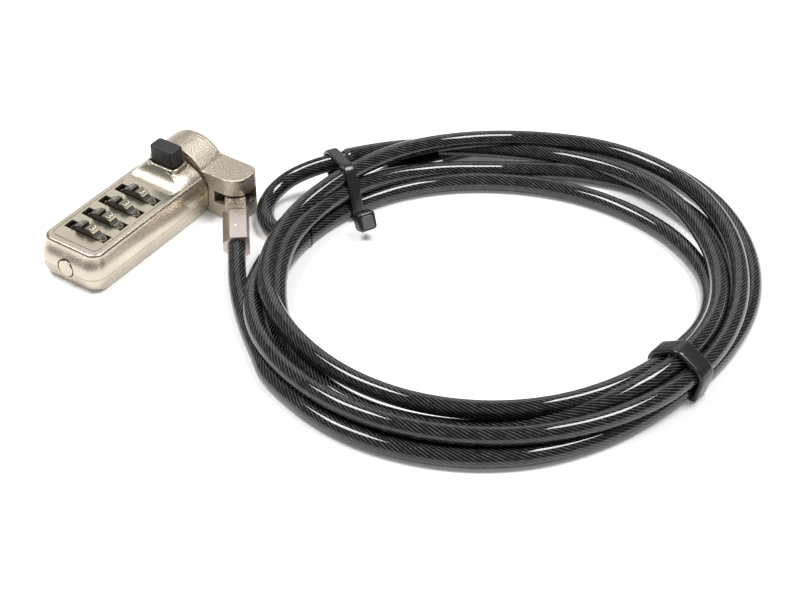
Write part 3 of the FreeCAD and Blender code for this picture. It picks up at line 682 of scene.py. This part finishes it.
def tube(name: str, path: np.ndarray, radius: float, sides: int) -> bpy.types.Object:
    """A closed round tube along a path, with u in metres along it and v in turns round it.

    A point is path + radius x (cos v x side + sin v x up), and each end is closed by a fan.

    Args:
        name: the object's name.
        path: n by 3 points.
        radius: the tube's radius.
        sides: points round it.

    Returns:
        The object.
    """
    _, side, up = turning_frames(path)
    turn = np.linspace(0, 2 * math.pi, sides, endpoint=False)
    ring = np.cos(turn)[None, :, None] * side[:, None, :] + np.sin(turn)[None, :, None] * up[:, None, :]
    points = (path[:, None, :] + radius * ring).reshape(-1, 3)
    rows = len(path)
    quads = grid_faces(rows, sides, wrap_cols=True)[:, ::-1]
    first = len(points)
    points = np.concatenate([points, path[:1], path[-1:]])
    j = np.arange(sides)
    cap_a = np.stack([np.full(sides, first), (j + 1) % sides, j], axis=-1)[:, ::-1]
    top = (rows - 1) * sides
    cap_b = np.stack([np.full(sides, first + 1), top + j, top + (j + 1) % sides], axis=-1)[:, ::-1]
    obj = mesh_object(name, points, quads.tolist() + cap_a.tolist() + cap_b.tolist())
    length = distance_along(path)
    row = quads // sides
    col = quads % sides
    # the last strip round closes at v = 1, not back at 0
    closing = (col.max(axis=1) == sides - 1) & (col.min(axis=1) == 0)
    v = col / sides + np.where(closing[:, None] & (col == 0), 1.0, 0.0)
    u = length[row]
    caps = np.zeros((2 * sides, 3))
    caps[sides:] = length[-1]
    set_uv(obj, np.concatenate([u.ravel(), caps.ravel()]), np.concatenate([v.ravel(), np.zeros(caps.size)]))
    return obj


# ---------------------------------------------------------------------------------
# the ties
# ---------------------------------------------------------------------------------
def squared(wave: np.ndarray, power: float) -> np.ndarray:
    """A sine or cosine pushed out towards -1 and 1: sign(s) |s|^power, which squares a round form."""
    return np.sign(wave) * np.abs(wave) ** power


@dataclass
class Tie:
    """A strap pulled tight round the bundle.

    Attributes:
        name: the piece's name.
        inner: where the strap's middle crosses the inside of the bundle, in plan.
        outer: where it crosses the outside, in plan.
        width: strap width along the cable.
        thick: strap thickness.
        margin: how far past inner and outer a strand still counts.
        widest: how much a slanting strand may widen its section.
        under: the strap's lowest middle height, in thicknesses.
        floor_gap: height of the strap's underside.
        flatness: powers that square the strap's section, through it and across it.
        sides: points round the section.
    """

    name: str
    inner: tuple[float, float]
    outer: tuple[float, float]
    width: float
    thick: float
    margin: float = 2.0 * MM
    widest: float = 1.6
    under: float = 0.55
    floor_gap: float = 0.05 * MM
    flatness: tuple[float, float] = (0.45, 0.3)
    sides: int = 20

    def axes(self) -> tuple[np.ndarray, np.ndarray, np.ndarray]:
        """The tie's upright plane.

        Returns:
            A point on it, its level direction and its normal.
        """
        a = np.array([*self.inner, 0.0])
        b = np.array([*self.outer, 0.0])
        across = (b - a) / np.linalg.norm(b - a)
        return a, across, np.cross([0.0, 0.0, 1.0], across)

    def crossings(self, path: np.ndarray) -> np.ndarray:
        """Where the cable passes through the tie's plane between inner and outer.

        Args:
            path: the cable's centre line.

        Returns:
            n by 3: distance from inner along the plane, height, and how much a slanting
            crossing widens the cable's section in the plane.
        """
        origin, across, normal = self.axes()
        reach = np.linalg.norm(np.array(self.outer) - np.array(self.inner))
        side = (path - origin) @ normal
        along = (path - origin) @ across
        held = (along[:-1] > -self.margin) & (along[:-1] < reach + self.margin)
        hit = np.nonzero((side[:-1] * side[1:] <= 0) & held)[0]
        run = path[hit + 1] - path[hit]
        widen = np.linalg.norm(run, axis=1) / np.abs(run @ normal)
        return np.stack([along[hit], path[hit, 2], np.minimum(widen, self.widest)], axis=-1)

    def outline(self, path: np.ndarray, cable_r: float, count: int = 120) -> np.ndarray:
        """The line a tight strap takes round the cable's oval sections.

        In direction (c, s) an oval a wide and r high reaches h = sqrt(a^2 c^2 + r^2 s^2)
        from its middle, at the point (a^2 c / h, r^2 s / h).

        Args:
            path: the cable's centre line.
            cable_r: the cable's radius.
            count: points in the line.

        Returns:
            count by 2: distance from inner along the tie's plane, and height.
        """
        spots = self.crossings(path)
        wide = cable_r * spots[:, 2]
        turn = np.linspace(0, 2 * math.pi, count, endpoint=False)
        aim = np.stack([np.cos(turn), np.sin(turn)], axis=-1)
        reach = np.sqrt((aim[:, :1] * wide) ** 2 + (aim[:, 1:] * cable_r) ** 2)
        far = np.argmax(aim @ spots[:, :2].T + reach, axis=1)
        span = reach[np.arange(count), far]
        touch = np.stack([wide[far] ** 2 * aim[:, 0], cable_r ** 2 * aim[:, 1]], axis=-1) / span[:, None]
        loop = spots[far, :2] + touch + aim * self.thick / 2
        loop[:, 1] = np.maximum(loop[:, 1], self.thick * self.under)
        return loop

    def build(self, path: np.ndarray, cable_r: float, finish: bpy.types.Material) -> bpy.types.Object:
        """Sweep the strap's rounded section round the bundle.

        The section is width x thick with its corners rounded; its points are outline
        + thick x depth x outward + width x across the strap.

        Args:
            path: the cable's centre line.
            cable_r: the cable's radius.
            finish: the strap's material.

        Returns:
            The strap.
        """
        origin, across, normal = self.axes()
        loop = self.outline(path, cable_r)
        step = np.roll(loop, -1, axis=0) - np.roll(loop, 1, axis=0)
        step /= np.linalg.norm(step, axis=1, keepdims=True)
        outward = np.stack([step[:, 1], -step[:, 0]], axis=-1)
        turn = np.linspace(0, 2 * math.pi, self.sides, endpoint=False)
        depth = squared(np.sin(turn), self.flatness[0]) * self.thick / 2
        breadth = squared(np.cos(turn), self.flatness[1]) * self.width / 2
        flat = loop[:, None, :] + outward[:, None, :] * depth[None, :, None]
        flat[:, :, 1] = np.maximum(flat[:, :, 1], self.floor_gap)
        points = origin + flat[..., :1] * across + flat[..., 1:] * np.array([0.0, 0.0, 1.0])
        points = points + breadth[None, :, None] * normal
        faces = grid_faces(len(loop), len(turn), wrap_rows=True, wrap_cols=True)
        piece = mesh_object(self.name, points.reshape(-1, 3), faces.tolist())
        recalculate(piece)
        piece.data.materials.append(finish)
        return piece


@dataclass
class TieHead:
    """The zip tie's moulded head, made of soft-cornered blocks set square to the tie.

    Attributes:
        middle: its middle.
        half: half sizes along the strap, across it and upwards.
        lean: how far its top leans in over the strap, in degrees.
        softness: power that rounds a block's corners, from 0 for sharp to 1 for a ball.
        around: points round a block.
        rise: points from its bottom to its top.
    """

    middle: Place
    half: Place
    lean: float = 24.0
    softness: float = 0.35
    around: int = 48
    rise: int = 25

    def block(self, name: str, half: Place, shift: Place, tie: Tie,
              finish: bpy.types.Material) -> bpy.types.Object:
        """A block whose points are half x sign(s) |s|^softness on a sphere's grid.

        Args:
            name: the piece's name.
            half: the block's half sizes.
            shift: its middle from the head's middle.
            tie: the tie that it is set square to.
            finish: its material.

        Returns:
            The block.
        """
        around = np.linspace(0, 2 * math.pi, self.around, endpoint=False)
        rise = np.linspace(-math.pi / 2, math.pi / 2, self.rise)
        u, v = np.meshgrid(around, rise, indexing="ij")
        ball = np.stack([np.cos(u) * np.cos(v), np.sin(u) * np.cos(v), np.sin(v)], axis=-1)
        cube = squared(ball, self.softness)
        local = (cube * np.array(half) + np.array(shift)).reshape(-1, 3)
        _, across, normal = tie.axes()
        tilt = math.radians(self.lean)
        ahead = across * math.cos(tilt) - np.array([0.0, 0.0, math.sin(tilt)])
        up = across * math.sin(tilt) + np.array([0.0, 0.0, math.cos(tilt)])
        points = np.array(self.middle) + local[:, :1] * ahead + local[:, 1:2] * normal + local[:, 2:] * up
        piece = mesh_object(name, points, grid_faces(self.around, self.rise, wrap_rows=True).tolist())
        recalculate(piece)
        piece.data.materials.append(finish)
        return piece


def recalculate(obj: bpy.types.Object) -> None:
    """Turn every face outwards.

    Args:
        obj: the object, which is closed.
    """
    bm = bmesh.new()
    bm.from_mesh(obj.data)
    bmesh.ops.recalc_face_normals(bm, faces=bm.faces)
    bm.to_mesh(obj.data)
    bm.free()


# ---------------------------------------------------------------------------------
# the dials' digits
# ---------------------------------------------------------------------------------
@dataclass
class DialDigits:
    """The ten digits round one dial, each set into its own pad.

    Attributes:
        radius: the dial's radius.
        height: digit height, which runs along X.
        shown: the digit whose pad is next to the top, towards -Y.
        type_size: size of the type that gives a digit of height 1.
        curve_steps: steps between two points of a digit's outline.
    """

    radius: float = 5.9 * MM
    height: float = 2.2 * MM
    shown: int = 3
    type_size: float = 1.32
    curve_steps: int = 3

    def build(self, name: str, x: float, swell: float, lift: float,
              finish: bpy.types.Material) -> bpy.types.Object:
        """Wrap flat digits on the dial's rim and join them in one mesh.

        Args:
            name: the object's name.
            x: the dial's middle along X.
            swell: how much each stroke is widened, in metres.
            lift: how far the strokes stand off the rim, in metres.
            finish: their material.

        Returns:
            The ten digits.
        """
        merged: list[np.ndarray] = []
        faces: list[list[int]] = []
        base = 0
        for digit in range(DIGITS):
            points, polys = self.flat_digit(str(digit), swell, lift)
            # the shown digit's pad stands half a pad off the top
            turn = math.radians(360.0 / DIGITS) * (digit - self.shown - 0.5)
            # across the digit runs round the rim, up the digit runs along +X
            around = turn - points[:, 0] / self.radius
            reach = self.radius + points[:, 2]
            merged.append(np.stack([
                x + points[:, 1],
                reach * np.sin(around),
                DIAL_AXIS_Z + reach * np.cos(around),
            ], axis=-1))
            faces.extend([[base + k for k in poly] for poly in polys])
            base += len(points)
        obj = mesh_object(name, np.concatenate(merged), faces, smooth=False)
        recalculate(obj)
        obj.data.materials.append(finish)
        return obj

    def flat_digit(self, text: str, swell: float, lift: float) -> tuple[np.ndarray, list[list[int]]]:
        """A digit as a thin solid, centred up and down.

        Args:
            text: the digit.
            swell: how much each stroke is widened, in metres.
            lift: half the solid's thickness, in metres.

        Returns:
            Its points, and each face's corner numbers.
        """
        curve = bpy.data.curves.new("digit_" + text, "FONT")
        curve.body = text
        curve.size = self.height * self.type_size
        curve.align_x = "CENTER"
        curve.extrude = lift
        curve.resolution_u = self.curve_steps
        curve.offset = swell
        obj = bpy.data.objects.new("digit_" + text, curve)
        bpy.context.scene.collection.objects.link(obj)
        bpy.context.view_layer.update()
        mesh = bpy.data.meshes.new_from_object(obj)
        co = np.empty(len(mesh.vertices) * 3)
        mesh.vertices.foreach_get("co", co)
        co = co.reshape(-1, 3)
        co[:, 1] -= (co[:, 1].max() + co[:, 1].min()) / 2
        polys = [list(p.vertices) for p in mesh.polygons]
        bpy.data.objects.remove(obj)
        bpy.data.meshes.remove(mesh)
        return co, polys


# ---------------------------------------------------------------------------------
# stage
# ---------------------------------------------------------------------------------
@dataclass
class Studio:
    """A pale floor, soft light from above and a camera.

    Attributes:
        camera_place: where the camera stands.
        forward: the way it looks.
        lens: its focal length in millimetres.
        sensor: its sensor's width in millimetres.
        near: the nearest distance that it sees.
        floor_half: half the floor's side.
        floor_tone: the floor's grey.
        floor_glow: its own light, which lifts the shadows.
        surround: strength of the white surround.
        aim: where every light points.
    """

    camera_place: Place = (-0.2756, -0.2719, 0.2900)
    forward: Place = (0.6400, 0.4417, -0.6287)
    lens: float = 88.1
    sensor: float = 36.0
    near: float = 0.01
    floor_half: float = 3.0
    floor_tone: float = 0.93
    floor_glow: float = 0.12
    surround: float = 0.26
    aim: Place = (0.02, -0.06, 0.0)

    def camera(self) -> None:
        """Place the camera and make it the scene's."""
        data = bpy.data.cameras.new("camera")
        data.lens = self.lens
        data.sensor_width = self.sensor
        data.clip_start = self.near
        camera = bpy.data.objects.new("camera", data)
        bpy.context.scene.collection.objects.link(camera)
        camera.location = self.camera_place
        camera.rotation_euler = Vector(self.forward).to_track_quat("-Z", "Y").to_euler()
        bpy.context.scene.camera = camera

    def floor(self) -> None:
        """A large pale floor."""
        size = self.floor_half
        corners = np.array([[-size, -size, 0], [size, -size, 0], [size, size, 0], [-size, size, 0]])
        floor = mesh_object("floor", corners, [[0, 1, 2, 3]], smooth=False)
        n = Nodes("floor_white")
        n.put(Base_Color=(self.floor_tone, self.floor_tone, self.floor_tone, 1.0), Roughness=0.9)
        n.shader.inputs["Specular IOR Level"].default_value = 0.1
        n.put(Emission_Color=(1.0, 1.0, 1.0, 1.0), Emission_Strength=self.floor_glow)
        floor.data.materials.append(n.material)
        floor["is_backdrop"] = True

    def area(self, name: str, place: Place, size: float, power: float) -> None:
        """One soft square light aimed at the part.

        Args:
            name: the light's name.
            place: its middle.
            size: its side.
            power: its power in watts.
        """
        data = bpy.data.lights.new(name, "AREA")
        data.shape = "SQUARE"
        data.size = size
        data.energy = power
        light = bpy.data.objects.new(name, data)
        bpy.context.scene.collection.objects.link(light)
        light.location = place
        aim = Vector(self.aim) - Vector(place)
        light.rotation_euler = aim.to_track_quat("-Z", "Y").to_euler()

    def light(self) -> None:
        """A white surround, two small boxes for clean highlights and a broad far one."""
        world = bpy.data.worlds.new("surround")
        world.use_nodes = True
        background = world.node_tree.nodes["Background"]
        background.inputs["Color"].default_value = (1.0, 1.0, 1.0, 1.0)
        background.inputs["Strength"].default_value = self.surround
        bpy.context.scene.world = world
        bpy.context.scene.view_settings.view_transform = "Standard"
        self.area("back_box", (-0.19, 0.34, 0.90), 0.34, 7.5)
        self.area("side_box", (0.26, -0.36, 0.90), 0.34, 7.5)
        self.area("far_box", (0.80, 0.52, 0.75), 0.90, 2.2)

    def build(self) -> None:
        """Make everything round the part."""
        self.camera()
        self.floor()
        self.light()


# ---------------------------------------------------------------------------------
# putting it together
# ---------------------------------------------------------------------------------
class Finishes:
    """Every finish of the lock, made once."""

    def __init__(self) -> None:
        """Build the materials."""
        self.case = MetalFinish("satin_nickel", (0.56, 0.505, 0.415), 0.27, Grain.SATIN).build()
        self.neck = MetalFinish("cast_nickel", (0.50, 0.45, 0.365), 0.30, Grain.CAST).build()
        self.ferrule = MetalFinish("ferrule_nickel", (0.66, 0.59, 0.54), 0.28).build()
        self.dial = DialFinish("dial_nickel", (0.30, 0.25, 0.19)).build()
        self.digit = MetalFinish("digit_core", (0.80, 0.76, 0.68), 0.34).build()
        self.steel = MetalFinish("turned_steel", (0.60, 0.60, 0.60), 0.28).build()
        self.brass = MetalFinish("turned_brass", (0.72, 0.55, 0.28), 0.30).build()
        self.button = PlasticFinish("button_black", (0.008, 0.008, 0.009), 0.42).build()
        self.nylon = PlasticFinish("black_nylon", (0.012, 0.012, 0.013), 0.22).build()
        self.ink = PlasticFinish("digit_ink", (0.02, 0.017, 0.014), 0.5).build()
        # a lighter grey nylon for the thin pane on the zip head's face
        self.tab = PlasticFinish("nylon_grey_face", (0.10, 0.10, 0.105), 0.38).build()
        self.cable = CableFinish().build()


NODE_FINISH: dict[str, str] = {
    "upper_case": "case",
    "lower_case": "case",
    "swivel_neck": "neck",
    "cable_ferrule": "ferrule",
    "push_button": "button",
    "reset_button": "case",
    "eye_sleeve": "nylon",
    "case_rivets": "steel",
    "lock_nose": "steel",
    "lock_spindle": "steel",
    "spindle_pinion": "steel",
    "t_bar": "steel",
    "hinge_pin": "steel",
    "button_slider": "steel",
    "detent_leaf": "steel",
    "button_spring": "steel",
    "reset_spring": "steel",
}


def dress_nodes(frame: dict, finishes: Finishes) -> None:
    """Give every CAD node that shows its own finish.

    Args:
        finishes: the lock's finishes.
    """
    chosen = dict(NODE_FINISH)
    for i in range(1, DIAL_COUNT + 1):
        chosen["number_dial_%d" % i] = "dial"
        chosen["dial_sleeve_%d" % i] = "brass"
    for node, finish in chosen.items():
        obj = frame["nodes"][node]
        obj.data.materials.clear()
        obj.data.materials.append(getattr(finishes, finish))
        LOG.info("%s is finished as %s", node, finish)


def main() -> None:
    """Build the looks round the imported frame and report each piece."""
    logging.basicConfig(level=logging.INFO)
    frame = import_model()
    Studio().build()
    finishes = Finishes()

    cable = Cable()
    piece, path = cable.build(finishes.cable)
    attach(piece, CABLE_BODY)
    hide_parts("cable_lead", "cable_coil", "cable_eye")
    length = float(np.linalg.norm(np.diff(path, axis=0), axis=1).sum())
    LOG.info("the cable is %.3f m long", length)

    zip_tie = Tie("zip_strap", inner=(0.0378, -0.0455), outer=(0.0482, -0.0253),
                  width=2.9 * MM, thick=1.1 * MM)
    band = Tie("wrapped_band", inner=(0.0297, -0.1301), outer=(0.0286, -0.1470),
               width=4.8 * MM, thick=1.4 * MM)
    for tie, node in ((zip_tie, "zip_tie_strap"), (band, "band_tie")):
        strap = tie.build(path, cable.diameter / 2, finishes.nylon)
        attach(strap, CABLE_BODY)
        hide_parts(node)
        LOG.info("%s holds %d strands", tie.name, len(tie.crossings(path)))

    head = TieHead(middle=(0.0352, -0.0470, 0.0048), half=(1.9 * MM, 2.4 * MM, 2.4 * MM))
    block = head.block("zip_head", head.half, (0.0, 0.0, 0.0), zip_tie, finishes.nylon)
    # a thin pane of lighter grey nylon laid on the head's face
    pane = (0.3 * MM, 1.5 * MM, 1.6 * MM)
    face = (-1.75 * MM, 0.0, 0.0)
    window = head.block("zip_head_window", pane, face, zip_tie, finishes.tab)
    for part in (block, window):
        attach(part, CABLE_BODY)
        LOG.info("%s is on the strap", part.name)
    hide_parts("zip_tie_head")

    dress_nodes(frame, finishes)
    for i in range(1, DIAL_COUNT + 1):
        low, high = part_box("number_dial_%d" % i)
        middle = (low.x + high.x) / 2
        rim = DialDigits().build("dial_digit_edges_%d" % i, middle,
                                 swell=0.17 * MM, lift=0.03 * MM, finish=finishes.ink)
        core = DialDigits().build("dial_digits_%d" % i, middle,
                                  swell=0.0, lift=0.06 * MM, finish=finishes.digit)
        for digits in (rim, core):
            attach(digits, "dial_%d" % i)
            LOG.info("%s rides on dial %d", digits.name, i)

    low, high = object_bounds()


if __name__ == "__main__":
    main()
